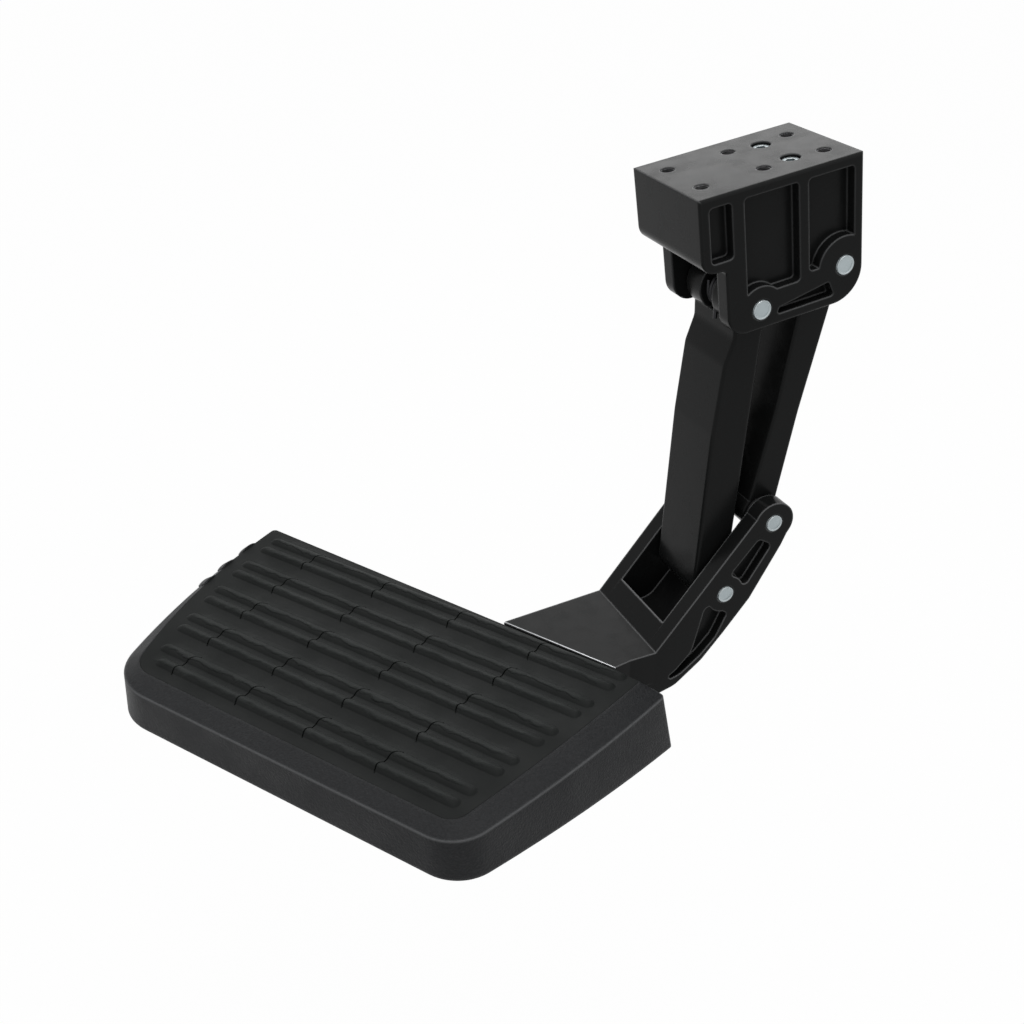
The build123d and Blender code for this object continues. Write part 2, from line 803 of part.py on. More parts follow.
def wall_outline(drop, inset):
    """Plan of the pad's wall at a drop below its crease, drawn in by an inset."""
    share = drop / (pad_depth_rear - pad_crease_drop)
    lean = pad_flare * share - inset
    (bl_x, bl_y), (br_x, br_y) = pad_back_left, pad_back_right
    (fr_x, fr_y), (fl_x, fl_y) = pad_front_right, pad_front_left
    corners = (
        (bl_x - lean, bl_y - inset),
        (br_x + pad_flare_right_rear * share - inset, br_y - inset),
        (fr_x + pad_flare_right_front * share - inset, fr_y - lean),
        (fl_x - lean, fl_y - lean),
    )
    radii = (pad_corner_back_left, pad_corner_back_right, pad_corner_right, pad_corner_left)
    return pad_face(corners, (pad_left_bow, pad_right_bow), [radius - inset for radius in radii])


def between(face, z, other, other_z):
    """Ruled solid between two like outlines at two heights."""
    return loft([Plane.XY.offset(z) * face, Plane.XY.offset(other_z) * other], ruled=True)


def tread_outline(inset):
    """Plan of the tread's seat, drawn in by an inset."""
    (bl_x, bl_y), (br_x, br_y) = tread_back_left, tread_back_right
    (fr_x, fr_y), (fl_x, fl_y) = tread_front_right, tread_front_left
    corners = (
        (bl_x + inset, bl_y - inset), (br_x - inset, br_y - inset),
        (fr_x - inset, fr_y + inset), (fl_x + inset, fl_y + inset),
    )
    radii = (mat_corner_back, mat_corner_back, mat_corner_right, mat_corner_left)
    return pad_face(corners, (tread_left_bow, tread_right_bow), radii)


def build_pad():
    """Moulded step: sloping border, flared walls, ribs and screw bosses below."""
    crease = wall_outline(0, 0)
    tread = tread_outline(0)
    skirt = pad_depth_rear - pad_crease_drop
    pad = between(crease, -pad_crease_drop, tread, 0)
    pad += between(crease, -pad_crease_drop, wall_outline(skirt, 0), -pad_depth_rear)
    pad += [pad_hump(y) for y in hump_places]
    hollow = between(wall_outline(pad_panel - pad_crease_drop, pad_wall), -pad_panel,
                     wall_outline(skirt + 1, pad_wall), -pad_depth_rear - 1)
    pad -= hollow - (pad_ribs() + pad_posts())
    pad -= upward(tread, -mat_seat, pad_crease_drop)
    pad -= flange_notch()
    pad -= below_rim()
    for x, y in bolt_places():
        bore = Cylinder(insert_radius + seat_gap, insert_length + 1, align=(Align.CENTER, Align.CENTER, Align.MIN))
        pad -= Pos(x, y, rib_bottom - 1) * bore
    return in_pad_frame(pad)


def side_at(y, back, front, bow):
    """X of a bowed side between its back and front corner, at a place across the pad."""
    share = (y - back[1]) / (front[1] - back[1])
    return back[0] + share * (front[0] - back[0]) + 4 * share * (1 - share) * bow


def pad_hump(y):
    """Low crown that runs down the left border."""
    outer = side_at(y, pad_back_left, pad_front_left, -pad_left_bow)
    inner = side_at(y, tread_back_left, tread_front_left, -tread_left_bow)
    run = inner - outer
    half = hump_width / 2
    crown = make_face([Line((-half, -1), (-half, 0)), ThreePointArc((-half, 0), (0, hump_height), (half, 0)),
                       Line((half, 0), (half, -1)), Line((half, -1), (-half, -1))])
    slope = Plane(origin=(outer, y, -pad_crease_drop), x_dir=(0, 1, 0), z_dir=(run, 0, pad_crease_drop))
    return extrude(slope * crown, math.hypot(run, pad_crease_drop) + 1)


def below_rim():
    """Room under the walls' lower rim, which rises from the back to the front."""
    back, front = pad_back_left[1], pad_front_left[1]
    rise = (pad_depth_rear - pad_depth_front) / (back - front)
    spare = pad_wall
    deep = -2 * pad_depth_rear
    side = make_face(Polyline(
        (back + spare, -pad_depth_rear - rise * spare), (front - spare, -pad_depth_front + rise * spare),
        (front - spare, deep), (back + spare, deep), close=True,
    ))
    return across(side, 2 * pad_back_left[0], 2 * pad_back_right[0])


def pad_ribs():
    """Grid of ribs under the panel."""
    centre = (pad_back_left[0] + pad_back_right[0]) / 2
    middle = (pad_back_left[1] + pad_front_right[1]) / 2
    width = 2 * (pad_back_right[0] - pad_back_left[0])
    height = -rib_bottom
    lines = []
    for i in range(rib_columns):
        x = centre + (i - (rib_columns - 1) / 2) * rib_column_pitch
        lines.append(Pos(x, middle, -height / 2) * Box(rib_thickness, width, height))
    for j in range(rib_rows):
        y = middle + (j - (rib_rows - 1) / 2) * rib_row_pitch
        lines.append(Pos(centre, y, -height / 2) * Box(width, rib_thickness, height))
    grid = lines[0]
    for line in lines[1:]:
        grid += line
    return grid


def flange_notch():
    """Opening in the back wall where the fork enters."""
    left, right = tongue_far - notch_side, tongue_near + notch_side
    opening = Box(right - left, notch_depth, pad_depth_rear, align=(Align.CENTER, Align.CENTER, Align.MAX))
    return Pos((left + right) / 2, 0, rib_bottom + notch_above) * opening


def pad_posts():
    """Bosses under the panel for the threaded inserts."""
    post = Cylinder(boss_radius, -rib_bottom, align=(Align.CENTER, Align.CENTER, Align.MIN))
    return [Pos(x, y, rib_bottom) * post for x, y in bolt_places()]


def build_mat():
    """Tread mat: rows of paired ridges, cut into tiles by slanting joints."""
    plan = tread_outline(mat_gap)
    mat = upward(plan, -mat_seat + seat_gap, 0)
    bars = [ridge_bar(*mat_span(y), y) for y in ridge_lines()]
    trim = upward(plan, -1, 2 * ridge_height)
    mat += [bar & trim for bar in bars]
    for row in range(row_count):
        for joint in range(joint_count):
            x = tile_centre + (joint - (joint_count - 1) / 2) * (tile_pitch - tile_taper * row)
            mat -= tile_joint(x, -row * row_pitch)
    return in_pad_frame(mat)


def ridge_lines():
    """Where the ridges run: two to each row."""
    return [ridge_first - row * row_pitch - ridge * ridge_step
            for row in range(row_count) for ridge in range(2)]


def mat_span(y):
    """Left and right ends of the ridges at a place across the mat."""
    left = side_at(y, tread_back_left, tread_front_left, -tread_left_bow)
    right = side_at(y, tread_back_right, tread_front_right, tread_right_bow)
    corner = max(0.0, ridge_corner_start - y) * ridge_corner_slope
    half = ridge_width / 2
    return (left + half + ridge_end_left + corner, right - half - ridge_end_right)


def ridge_bar(x_from, x_to, y):
    """Low crowned bar with rounded noses."""
    half = ridge_width / 2
    crown = make_face([Line((-half, -0.5), (-half, 0)), ThreePointArc((-half, 0), (0, ridge_height), (half, 0)),
                       Line((half, 0), (half, -0.5)), Line((half, -0.5), (-half, -0.5))])
    bar = extrude(Plane(origin=(x_from, y, 0), x_dir=(0, 1, 0), z_dir=(1, 0, 0)) * crown, x_to - x_from)
    quarter = make_face([Line((0, -0.5), (0, ridge_height)), ThreePointArc((0, ridge_height), nose_mid(half), (half, 0)),
                         Line((half, 0), (half, -0.5)), Line((half, -0.5), (0, -0.5))])
    nose = revolve(Plane.XZ * quarter, Axis.Z, 360)
    return bar + Pos(x_from, y, 0) * nose + Pos(x_to, y, 0) * nose


def nose_mid(half):
    """Point halfway along the crown's arc between its top and its foot."""
    radius = (half ** 2 + ridge_height ** 2) / (2 * ridge_height)
    angle = math.asin(half / radius) / 2
    return (radius * math.sin(angle), ridge_height - radius * (1 - math.cos(angle)))


def tile_joint(x, y):
    """S-shaped groove between two tiles of a row."""
    path = Spline([(x + aside, y + along) for aside, along in joint_path])
    groove = trace(path, joint_width)
    return upward(groove, -joint_depth, ridge_height + 1)


def build_bolts():
    """Hexagon bolts, washers and threaded inserts that hold the pad."""
    bottom = rib_bottom - flange_gap - flange_thickness
    under = bottom - washer_thickness - 2 * seat_gap
    hanging = (Align.CENTER, Align.CENTER, Align.MAX)
    standing = (Align.CENTER, Align.CENTER, Align.MIN)
    bolts, washers, inserts = [], [], []
    for x, y in bolt_places():
        head = Pos(x, y, under - bolt_head_height) * extrude(RegularPolygon(bolt_head_radius, 6), bolt_head_height)
        length = rib_bottom + insert_length - 1 - under
        bolts.append(in_pad_frame(head + Pos(x, y, under) * Cylinder(bolt_radius, length, align=standing)))
        ring = Cylinder(washer_radius, washer_thickness, align=hanging)
        ring -= Cylinder(bolt_radius + seat_gap, 10)
        washers.append(in_pad_frame(Pos(x, y, bottom - seat_gap) * ring))
        nut = Cylinder(insert_radius, insert_length - 0.1, align=standing)
        nut -= Cylinder(bolt_radius + seat_gap, 40)
        inserts.append(in_pad_frame(Pos(x, y, rib_bottom) * nut))
    return bolts, washers, inserts


def main():
    nodes = {}
    nodes["mount_bracket"] = build_bracket()
    nodes["stop_block"] = build_stop()
    nodes["stop_block_screws"] = build_stop_screws()
    nodes["down_stop_bumper"] = build_down_bumper()
    nodes["up_stop_bumper"] = build_up_bumper()
    pins = {
        "upper_front": (front_pivot, upper_pin_radius, bracket_half_width),
        "upper_rear": (rear_pivot, upper_pin_radius, bracket_half_width),
        "lower_front": (lower_front_pivot, lower_pin_radius, rail_outer_half),
        "lower_rear": (lower_rear_pivot, lower_pin_radius, rail_outer_half),
    }
    for name, (centre, radius, half_width) in pins.items():
        nodes[name + "_pin"] = build_pin(centre, radius, half_width)
        nodes[name + "_clip"] = build_clip(centre, radius, half_width)
    nodes["main_arm"] = build_arm()
    nodes["return_spring"] = build_spring()
    nodes["rear_link"] = build_link()
    for side, word in ((1, "near"), (-1, "far")):
        nodes["arm_upper_bush_" + word] = build_bush(front_pivot, upper_pin_radius, arm_half_width, side)
        nodes["arm_lower_bush_" + word] = build_bush(lower_front_pivot, lower_pin_radius, arm_half_width, side)
        nodes["link_lower_bush_" + word] = build_bush(lower_rear_pivot, lower_pin_radius, link_half_width, side)
    nodes["lower_fork"] = build_fork()
    nodes["step_pad"] = build_pad()
    nodes["tread_mat"] = build_mat()
    nodes["pad_bolts"], nodes["pad_washers"], nodes["pad_inserts"] = build_bolts()
    os.makedirs("parts", exist_ok=True)
    for name, shape in nodes.items():
        solids = shape if isinstance(shape, list) else [shape]
        export_step(Compound(children=[solid for part in solids for solid in part.solids()]),
                    f"parts/{name}.step")


main()
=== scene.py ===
import math

import bmesh
import bpy
from bpy.props import FloatProperty, FloatVectorProperty, PointerProperty
from mathutils import Matrix, Vector


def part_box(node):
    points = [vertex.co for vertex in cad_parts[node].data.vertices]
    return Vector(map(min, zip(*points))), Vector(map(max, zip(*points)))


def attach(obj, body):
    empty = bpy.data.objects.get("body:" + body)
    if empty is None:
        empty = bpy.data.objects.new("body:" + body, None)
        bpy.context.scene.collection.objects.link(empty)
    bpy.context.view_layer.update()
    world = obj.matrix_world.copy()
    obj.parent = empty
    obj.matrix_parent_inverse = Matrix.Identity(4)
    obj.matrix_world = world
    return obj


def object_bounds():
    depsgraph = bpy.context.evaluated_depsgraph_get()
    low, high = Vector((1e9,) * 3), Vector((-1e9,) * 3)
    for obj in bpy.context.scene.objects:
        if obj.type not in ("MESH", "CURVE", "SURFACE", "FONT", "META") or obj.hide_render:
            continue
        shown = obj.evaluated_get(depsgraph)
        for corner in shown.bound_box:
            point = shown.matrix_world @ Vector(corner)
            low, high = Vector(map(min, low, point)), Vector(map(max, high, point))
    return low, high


bl_info = {
    "name": "Retractable side step",
    "version": (1, 0, 0),
    "blender": (4, 5, 0),
    "location": "3D View > Sidebar > Side step",
    "description": "Dresses the side step: castings, zinc pins, moulded pad and ribbed tread",
    "category": "Object",
}

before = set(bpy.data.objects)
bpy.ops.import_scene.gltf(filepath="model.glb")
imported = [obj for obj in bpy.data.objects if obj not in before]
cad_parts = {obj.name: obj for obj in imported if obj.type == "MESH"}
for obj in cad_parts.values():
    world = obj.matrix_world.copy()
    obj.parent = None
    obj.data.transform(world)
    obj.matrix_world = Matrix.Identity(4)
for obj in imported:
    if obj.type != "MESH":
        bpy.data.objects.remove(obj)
FRAME_BOX = [list(corner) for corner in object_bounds()]

# Nodes of the frame, by finish
CASTINGS = ("mount_bracket", "main_arm", "rear_link", "stop_block")
FORK = "lower_fork"
PINS = ("upper_front_pin", "upper_rear_pin", "lower_front_pin", "lower_rear_pin")
CLIPS = ("upper_front_clip", "upper_rear_clip", "lower_front_clip", "lower_rear_clip")
ZINC_FASTENERS = ("stop_block_screws", "pad_bolts", "pad_washers")
BUSHES = (
    "arm_upper_bush_near", "arm_upper_bush_far", "arm_lower_bush_near", "arm_lower_bush_far",
    "link_lower_bush_near", "link_lower_bush_far",
)
BUMPERS = ("down_stop_bumper", "up_stop_bumper")

# Camera, lamps and floor. A lamp has its name, its place and its size
SENSOR_WIDTH = 36.0
TOP_LAMP = ("top_lamp", (0.15, -0.15, 1.3), 0.9)
BACK_LAMP = ("back_lamp", (-1.35, 0.85, 0.95), 1.0)
LAMP_AIM = (0.0, -0.1, -0.17)
FLOOR_SIZE = 40.0
FLOOR_COLOUR = (0.90, 0.90, 0.90, 1.0)
FLOOR_ROUGHNESS = 0.9
FLOOR_GLOW = 0.98
WHITE = (1.0, 1.0, 1.0, 1.0)

# Painted highlights that the edges show: the coat's, the fork's brighter ones, the zinc's, the
# rubber's and the crease's
COAT_EDGE_HIGHLIGHT = (0.15, 0.152, 0.155, 1.0)
FORK_EDGE_HIGHLIGHT = (0.23, 0.232, 0.236, 1.0)
ZINC_EDGE_HIGHLIGHT = (0.72, 0.75, 0.76, 1.0)
RUBBER_EDGE_HIGHLIGHT = (0.02, 0.02, 0.02, 1.0)
CREASE_HIGHLIGHT = (0.135, 0.138, 0.142, 1.0)
EVERY_HEIGHT = 10.0

# An edge's painted highlight grows from its least share to all of it as the edge turns from level
# to upward, towards the light
UPWARD_SPAN = (-0.2, 0.6)
UPWARD_LEAST = 0.2
BEVEL_SAMPLES = 8

# Part of the grain's mask that the roughness follows
GRAIN_SPAN = (0.3, 0.7)

SMOOTH_ANGLE = math.radians(35)

# Faces of the pins: the bodies that carry them, how far they stand out and how far in they start
PIN_BODIES = {
    "upper_front_pin": "bracket", "upper_rear_pin": "bracket",
    "lower_front_pin": "carrier", "lower_rear_pin": "carrier",
}
FACE_RISE = 0.0006
FACE_MARGIN = 0.0004
FACE_SIDES = 64

# Mounting holes, in the bracket's own axes, which are turned about the pins' direction
BRACKET_TILT = Matrix.Rotation(math.radians(8.6), 3, "X")
HOLE_ROWS = (-0.040, 0.0, 0.040)
HOLE_SPACING = 0.037
HOLE_RADIUS = 0.00425

# Their bare threads: depth of the first turn, pitch, number of turns and widening at each crest
THREAD_TOP = 0.0008
THREAD_PITCH = 0.0013
THREAD_TURNS = 6
THREAD_CREST = 1.05
THREAD_SIDES = 40

# The pad's own axes: its back left part at the tread's level, and its turn about the vertical
PAD_ORIGIN = (-0.1576, -0.2225, -0.3007)
PAD_TURN = math.radians(32.4)

# The crease round the pad's border starts this far below the tread's level; the painted highlight
# along it shows only below this height
CREASE_START = 0.0022

# A bright bead along the tongue's front lip, a painted highlight, from its far to its near end in
# the pad's axes
LIP_FAR = (0.1530, 0.0054, -0.0004)
LIP_NEAR = (0.2390, 0.0029, -0.0004)
LIP_RADIUS = 0.00045
LIP_SIDES = 16

# Rows of ridges across the tread: their pitch, where one starts, the height of their tones in the
# bump, how far their limits wander as a share of the pitch, and how much lighter a crest is
# painted, a painted highlight
ROW_PITCH = 0.0342
ROW_START = 0.026
ROW_RELIEF = 0.0015
ROW_WANDER = 0.22
CREST_HIGHLIGHT = 2.8

# Where the ridges end, as the border's slant and its distance along the rows
RIGHT_END = (-0.142, 0.249)
LEFT_END = (0.240, -0.050)
END_FADE = 0.012

# Tone of the flat lands, and each row's tones from back to front: painted highlight on the crests
# and painted shade at their feet, also used as the bump's height
LAND_TONE = 0.3
ROW_TONES = (
    (0.0, 0.80), (0.10, 1.0), (0.14, 0.95), (0.18, 0.25), (0.26, 0.25), (0.34, 0.45), (0.43, 0.80),
    (0.50, 1.0), (0.53, 0.90), (0.58, 0.35), (0.64, 0.20), (0.74, 0.20), (0.90, 0.35), (1.0, 0.65),
)


class StageSettings(bpy.types.PropertyGroup):
    """Camera, lamps and floor."""

    camera_place: FloatVectorProperty(
        name="Camera place", description="Where the camera stands, in the step's frame",
        default=(0.6140, -0.4157, 0.1945), subtype="TRANSLATION", unit="LENGTH")
    camera_turn: FloatVectorProperty(
        name="Camera turn", description="The camera's tilt and heading",
        default=(math.radians(59.74), 0.0, math.radians(66.18)), subtype="EULER")
    camera_lens: FloatProperty(
        name="Lens", description="Focal length for a 36 mm wide picture, in millimetres",
        default=45.156)
    floor_drop: FloatProperty(
        name="Floor drop", description="How far the floor lies below the step",
        default=0.30, unit="LENGTH")
    top_power: FloatProperty(
        name="Top power", description="Strength of the lamp overhead, in watts", default=8.0)
    back_power: FloatProperty(
        name="Back power", description="Strength of the lamp behind, in watts", default=5.5)
    sky_strength: FloatProperty(
        name="Sky strength", description="Light from all round", default=0.40)


class FinishSettings(bpy.types.PropertyGroup):
    """Colours, roughness and small sizes of the step's finishes."""

    coat_colour: FloatVectorProperty(
        name="Casting coat", description="Black powder coat on the castings",
        default=(0.0125, 0.0130, 0.0130, 1.0), size=4, subtype="COLOR", min=0, max=1)
    coat_roughness: FloatProperty(
        name="Coat roughness", description="Roughness of the powder coat",
        default=0.24, min=0, max=1)
    zinc_colour: FloatVectorProperty(
        name="Zinc", description="Bright zinc plate on pins and screws",
        default=(0.38, 0.43, 0.445, 1.0), size=4, subtype="COLOR", min=0, max=1)
    pad_colour: FloatVectorProperty(
        name="Pad", description="Grained moulding of the step pad",
        default=(0.0160, 0.0168, 0.0182, 1.0), size=4, subtype="COLOR", min=0, max=1)
    tread_colour: FloatVectorProperty(
        name="Tread", description="Rubber of the tread mat",
        default=(0.0085, 0.0094, 0.0091, 1.0), size=4, subtype="COLOR", min=0, max=1)
    edge_radius: FloatProperty(
        name="Edge radius", description="Rounding seen on cast edges",
        default=0.0018, unit="LENGTH")
    pin_rim: FloatProperty(
        name="Pin rim", description="Width of the rolled rim round a pin's face",
        default=0.0011, unit="LENGTH")
    thread_depth: FloatProperty(
        name="Thread depth", description="How far the bare threads stand into a mounting hole",
        default=0.0005, unit="LENGTH")


def new_group(name, inputs, outputs):
    """Shader node group with (type, name, default) inputs and (type, name) outputs."""
    group = bpy.data.node_groups.new(name, "ShaderNodeTree")
    for kind, label, default in inputs:
        socket = group.interface.new_socket(name=label, in_out="INPUT", socket_type=kind)
        socket.default_value = default
    for kind, label in outputs:
        group.interface.new_socket(name=label, in_out="OUTPUT", socket_type=kind)
    entry = group.nodes.new("NodeGroupInput")
    leave = group.nodes.new("NodeGroupOutput")
    return group, entry, leave


def feed(links, socket, source):
    """Give a socket a number, or link it to another socket."""
    if isinstance(source, (int, float)):
        socket.default_value = source
    else:
        links.new(source, socket)


def math_node(nodes, links, operation, *terms, clamp=False):
    """Value of a math node on sockets and numbers."""
    node = nodes.new("ShaderNodeMath")
    node.operation = operation
    node.use_clamp = clamp
    for index, term in enumerate(terms):
        feed(links, node.inputs[index], term)
    return node.outputs["Value"]


def noise(nodes, links, vector, scale, detail, roughness):
    """Noise on a vector, its scale from a socket or a number."""
    node = nodes.new("ShaderNodeTexNoise")
    node.inputs["Detail"].default_value = detail
    node.inputs["Roughness"].default_value = roughness
    links.new(vector, node.inputs["Vector"])
    feed(links, node.inputs["Scale"], scale)
    return node.outputs["Fac"]


def grain_group():
    """Two sizes of grain: a height for bump and a mask for roughness."""
    group, entry, leave = new_group(
        "surface_grain",
        [("NodeSocketFloat", "Fine scale", 900.0), ("NodeSocketFloat", "Broad scale", 40.0),
         ("NodeSocketFloat", "Broad share", 0.3)],
        [("NodeSocketFloat", "Height"), ("NodeSocketFloat", "Mask")])
    nodes, links = group.nodes, group.links
    place = nodes.new("ShaderNodeTexCoord").outputs["Object"]
    fine = noise(nodes, links, place, entry.outputs["Fine scale"], 3.0, 0.55)
    broad = noise(nodes, links, place, entry.outputs["Broad scale"], 2.0, 0.5)
    mix = nodes.new("ShaderNodeMix")
    links.new(entry.outputs["Broad share"], mix.inputs["Factor"])
    links.new(fine, mix.inputs["A"])
    links.new(broad, mix.inputs["B"])
    links.new(mix.outputs["Result"], leave.inputs["Height"])
    links.new(broad, leave.inputs["Mask"])
    return group


def shades_group():
    """A colour that drifts a little between a darker and a lighter shade."""
    group, entry, leave = new_group(
        "drifting_shade",
        [("NodeSocketColor", "Dark", (0.01, 0.01, 0.01, 1.0)),
         ("NodeSocketColor", "Light", (0.02, 0.02, 0.02, 1.0)),
         ("NodeSocketFloat", "Scale", 12.0)],
        [("NodeSocketColor", "Colour")])
    nodes, links = group.nodes, group.links
    place = nodes.new("ShaderNodeTexCoord").outputs["Object"]
    cloud = noise(nodes, links, place, entry.outputs["Scale"], 4.0, 0.6)
    mix = nodes.new("ShaderNodeMix")
    mix.data_type = "RGBA"
    links.new(cloud, mix.inputs["Factor"])
    links.new(entry.outputs["Dark"], mix.inputs["A"])
    links.new(entry.outputs["Light"], mix.inputs["B"])
    links.new(mix.outputs["Result"], leave.inputs["Colour"])
    return group


def edge_group():
    """Normal rounded over the edges, and a mask of them for a painted highlight, stronger where
    they face up to the light.

    The mask is empty above the height that Below gives.
    """
    group, entry, leave = new_group(
        "painted_edge_highlight",
        [("NodeSocketFloat", "Radius", 0.001), ("NodeSocketFloat", "Reach", 6.0),
         ("NodeSocketFloat", "Below", EVERY_HEIGHT)],
        [("NodeSocketVector", "Normal"), ("NodeSocketFloat", "Mask")])
    nodes, links = group.nodes, group.links
    rounding = nodes.new("ShaderNodeBevel")
    rounding.samples = BEVEL_SAMPLES
    links.new(entry.outputs["Radius"], rounding.inputs["Radius"])
    flat = nodes.new("ShaderNodeNewGeometry")
    match = nodes.new("ShaderNodeVectorMath")
    match.operation = "DOT_PRODUCT"
    links.new(rounding.outputs["Normal"], match.inputs[0])
    links.new(flat.outputs["Normal"], match.inputs[1])
    turn = math_node(nodes, links, "SUBTRACT", 1.0, match.outputs["Value"])
    edge = math_node(nodes, links, "MULTIPLY", turn, entry.outputs["Reach"], clamp=True)
    facing = nodes.new("ShaderNodeSeparateXYZ")
    links.new(rounding.outputs["Normal"], facing.inputs["Vector"])
    upward = nodes.new("ShaderNodeMapRange")
    upward.inputs["From Min"].default_value, upward.inputs["From Max"].default_value = UPWARD_SPAN
    upward.inputs["To Min"].default_value = UPWARD_LEAST
    links.new(facing.outputs["Z"], upward.inputs["Value"])
    share = math_node(nodes, links, "MULTIPLY", edge, upward.outputs["Result"])
    place = nodes.new("ShaderNodeTexCoord")
    height = nodes.new("ShaderNodeSeparateXYZ")
    links.new(place.outputs["Object"], height.inputs["Vector"])
    low = math_node(nodes, links, "LESS_THAN", height.outputs["Z"], entry.outputs["Below"])
    links.new(rounding.outputs["Normal"], leave.inputs["Normal"])
    links.new(math_node(nodes, links, "MULTIPLY", share, low), leave.inputs["Mask"])
    return group


def group_node(material, name, make):
    """Place a shared group in a material. It is made the first time that one asks for it."""
    node = material.node_tree.nodes.new("ShaderNodeGroup")
    node.node_tree = bpy.data.node_groups.get(name) or make()
    return node


def tinted(colour, factor):
    """The same colour, darker or lighter."""
    return (colour[0] * factor, colour[1] * factor, colour[2] * factor, 1.0)


def finish_material(name, colour, spread, roughness, fine, broad, share, bump, edge=None,
                    cloud=12.0, **fixed):
    """Principled material with drifting colour, varied roughness, grain bump and rounded edges.

    The bump is given as its strength and depth, and the edge as its radius, its reach, the
    lighter colour of the painted highlight that it shows, and the height below which it shows it.
    """
    material = bpy.data.materials.new(name)
    material.use_nodes = True
    nodes, links = material.node_tree.nodes, material.node_tree.links
    shader = nodes["Principled BSDF"]
    for socket, value in fixed.items():
        shader.inputs[socket.replace("_", " ")].default_value = value
    shade = group_node(material, "drifting_shade", shades_group)
    shade.inputs["Dark"].default_value = tinted(colour, 1 - spread)
    shade.inputs["Light"].default_value = tinted(colour, 1 + spread)
    shade.inputs["Scale"].default_value = cloud
    links.new(shade.outputs["Colour"], shader.inputs["Base Color"])
    grain = group_node(material, "surface_grain", grain_group)
    grain.inputs["Fine scale"].default_value = fine
    grain.inputs["Broad scale"].default_value = broad
    grain.inputs["Broad share"].default_value = share
    span = nodes.new("ShaderNodeMapRange")
    span.inputs["From Min"].default_value, span.inputs["From Max"].default_value = GRAIN_SPAN
    span.inputs["To Min"].default_value, span.inputs["To Max"].default_value = roughness
    links.new(grain.outputs["Mask"], span.inputs["Value"])
    links.new(span.outputs["Result"], shader.inputs["Roughness"])
    relief = nodes.new("ShaderNodeBump")
    relief.inputs["Strength"].default_value, relief.inputs["Distance"].default_value = bump
    links.new(grain.outputs["Height"], relief.inputs["Height"])
    if edge:
        radius, reach, edge_highlight, below = edge
        rounding = group_node(material, "painted_edge_highlight", edge_group)
        rounding.inputs["Radius"].default_value = radius
        rounding.inputs["Reach"].default_value = reach
        rounding.inputs["Below"].default_value = below
        links.new(rounding.outputs["Normal"], relief.inputs["Normal"])
        blend_colour(material, rounding.outputs["Mask"], edge_highlight)
    links.new(relief.outputs["Normal"], shader.inputs["Normal"])
    return material


def blend_colour(material, mask, colour):
    """Blend one more colour over what feeds the base colour, by a mask."""
    nodes, links = material.node_tree.nodes, material.node_tree.links
    base = nodes["Principled BSDF"].inputs["Base Color"]
    blend = nodes.new("ShaderNodeMix")
    blend.data_type = "RGBA"
    links.new(base.links[0].from_socket, blend.inputs["A"])
    blend.inputs["B"].default_value = colour
    links.new(mask, blend.inputs["Factor"])
    links.new(blend.outputs["Result"], base)


def paint(obj, material):
    """Give an object one material in every slot."""
    if not obj.data.materials:
        obj.data.materials.append(material)
    for index in range(len(obj.data.materials)):
        obj.data.materials[index] = material


def paint_nodes(names, material):
    """Give several nodes of the frame the same material."""
    for name in names:
        paint(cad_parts[name], material)


def deselect():
    """Leave nothing selected, so that the next operator acts on the new piece only."""
    for obj in bpy.context.selected_objects:
        obj.select_set(False)
    bpy.context.view_layer.objects.active = None


def edit_all(obj, kind):
    """Enter edit mode with all of an object's mesh selected, by vertices or by faces."""
    bpy.context.view_layer.objects.active = obj
    bpy.ops.object.mode_set(mode="EDIT")
    bpy.ops.mesh.select_mode(type=kind)
    bpy.ops.mesh.select_all(action="SELECT")


def choose_faces(obj, wanted):
    """In edit mode, select only the faces whose normal passes the test."""
    bpy.ops.mesh.select_all(action="DESELECT")
    mesh = bmesh.from_edit_mesh(obj.data)
    for face in mesh.faces:
        face.select = wanted(face.normal)
    mesh.select_flush_mode()
    bmesh.update_edit_mesh(obj.data)


def settle(obj, name, material):
    """Name and paint a finished piece, with its place kept in its mesh."""
    if not obj.data.polygons:
        raise RuntimeError(name + " has no faces")
    deselect()
    obj.select_set(True)
    bpy.context.view_layer.objects.active = obj
    bpy.ops.object.transform_apply(location=True, rotation=True, scale=True)
    bpy.ops.object.shade_smooth_by_angle(angle=SMOOTH_ANGLE)
    obj.name = name
    obj.data.name = name
    paint(obj, material)


def copy_to(obj, name, shift):
    """Copy a finished piece, mesh and all, and carry its mesh to another place."""
    twin = obj.copy()
    twin.data = obj.data.copy()
    twin.name = name
    twin.data.name = name
    twin.data.transform(Matrix.Translation(shift))
    bpy.context.scene.collection.objects.link(twin)
    return twin


